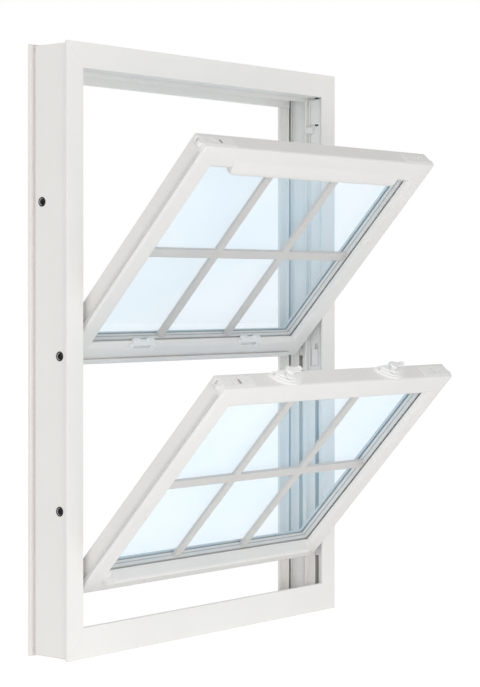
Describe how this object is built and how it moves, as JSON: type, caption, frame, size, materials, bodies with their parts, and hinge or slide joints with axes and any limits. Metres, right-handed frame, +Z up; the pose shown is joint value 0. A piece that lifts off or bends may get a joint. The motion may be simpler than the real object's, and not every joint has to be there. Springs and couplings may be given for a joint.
{
  "type": "double-hung tilt sash window",
  "caption": "White vinyl double-hung window frame with sliding sashes that tilt inward, insulating glass with internal grids, latches, cam locks and coil balances",
  "frame": {"origin": "middle of the flat seat under the frame, halfway across its width and halfway through the depth of its body", "axes": "+X to the right seen from the room, +Y from the room to the outside, +Z up"},
  "size_m": [0.65, 0.355, 0.914],
  "materials": {
    "vinyl": "satin white extruded vinyl",
    "moulded_white": "smooth moulded white plastic",
    "lock_white": "white painted zinc casting",
    "glass": "clear float glass",
    "spacer_grey": "mill aluminium",
    "grid_white": "pale grey-white painted aluminium",
    "steel": "zinc plated steel",
    "screw_steel": "dark plated steel",
    "pile": "grey-white pile weatherstrip"
  },
  "bodies": {
    "frame": {"frame_head": "vinyl", "frame_sill": "vinyl", "jamb_left": "vinyl", "jamb_right": "vinyl", "head_cover": "vinyl", "jamb_cover_left": "moulded_white", "jamb_cover_right": "moulded_white", "upper_covers": "moulded_white", "track_fillers": "moulded_white", "sash_stops": "moulded_white", "jamb_screws": "screw_steel", "lower_coils": "moulded_white", "upper_coils": "moulded_white", "lower_ribbons": "steel", "upper_ribbons": "steel"},
    "lower_carriage": {"lower_shoe_left": "moulded_white", "lower_shoe_right": "moulded_white"},
    "upper_carriage": {"upper_shoe_left": "moulded_white", "upper_shoe_right": "moulded_white"},
    "lower_sash": {"lower_top_rail": "vinyl", "lower_bottom_rail": "vinyl", "lower_stile_left": "vinyl", "lower_stile_right": "vinyl", "lower_glass_inner": "glass", "lower_glass_outer": "glass", "lower_spacer": "spacer_grey", "lower_grid": "grid_white", "lower_beads": "vinyl", "lower_latch_left": "moulded_white", "lower_latch_right": "moulded_white", "lower_pivot_bars": "steel", "lower_cams": "steel", "lower_seals": "pile", "lock_base_left": "lock_white", "lock_base_right": "lock_white", "lift_rail": "vinyl"},
    "upper_sash": {"upper_top_rail": "vinyl", "upper_bottom_rail": "vinyl", "upper_stile_left": "vinyl", "upper_stile_right": "vinyl", "upper_glass_inner": "glass", "upper_glass_outer": "glass", "upper_spacer": "spacer_grey", "upper_grid": "grid_white", "upper_beads": "vinyl", "upper_latch_left": "moulded_white", "upper_latch_right": "moulded_white", "upper_pivot_bars": "steel", "upper_cams": "steel", "upper_seals": "pile", "lock_keepers": "lock_white", "pull_rail": "vinyl"},
    "lower_bolt_left_body": {"lower_bolt_left": "moulded_white"},
    "lower_bolt_right_body": {"lower_bolt_right": "moulded_white"},
    "upper_bolt_left_body": {"upper_bolt_left": "moulded_white"},
    "upper_bolt_right_body": {"upper_bolt_right": "moulded_white"},
    "lock_lever_left_body": {"lock_lever_left": "lock_white"},
    "lock_lever_right_body": {"lock_lever_right": "lock_white"}
  },
  "joints": [
    {"name": "lower_lift", "type": "slide", "parent": "frame", "child": "lower_carriage", "axis": [0, 0, 1], "range_m": [-0.055, 0.284], "deforming": ["lower_ribbons"]},
    {"name": "upper_slide", "type": "slide", "parent": "frame", "child": "upper_carriage", "axis": [0, 0, 1], "range_m": [-0.304, 0.007], "deforming": ["upper_ribbons"]},
    {"name": "lower_tilt", "type": "hinge", "parent": "lower_carriage", "child": "lower_sash", "pos_m": [0, -0.0185, 0.109], "axis": [1, 0, 0], "range_deg": [-42.5, 47.5]},
    {"name": "upper_tilt", "type": "hinge", "parent": "upper_carriage", "child": "upper_sash", "pos_m": [0, 0.0165, 0.451], "axis": [1, 0, 0], "range_deg": [-42.5, 47.5]},
    {"name": "lower_bolt_left_slide", "type": "slide", "parent": "lower_sash", "child": "lower_bolt_left_body", "axis": [-1, 0, 0], "range_m": [-0.006, 0.005]},
    {"name": "lower_bolt_right_slide", "type": "slide", "parent": "lower_sash", "child": "lower_bolt_right_body", "axis": [1, 0, 0], "range_m": [-0.006, 0.005]},
    {"name": "upper_bolt_left_slide", "type": "slide", "parent": "upper_sash", "child": "upper_bolt_left_body", "axis": [-1, 0, 0], "range_m": [-0.006, 0.005]},
    {"name": "upper_bolt_right_slide", "type": "slide", "parent": "upper_sash", "child": "upper_bolt_right_body", "axis": [1, 0, 0], "range_m": [-0.006, 0.005]},
    {"name": "lock_left_turn", "type": "hinge", "parent": "lower_sash", "child": "lock_lever_left_body", "pos_m": [-0.13, -0.29162, 0.4189], "axis": [0, 0.6756, -0.7373], "range_deg": [0, 140]},
    {"name": "lock_right_turn", "type": "hinge", "parent": "lower_sash", "child": "lock_lever_right_body", "pos_m": [0.13, -0.29162, 0.4189], "axis": [0, 0.6756, -0.7373], "range_deg": [0, 140]}
  ],
  "couplings": [
    {"joint": "upper_tilt", "follows": "lower_tilt", "ratio": 1}
  ]
}
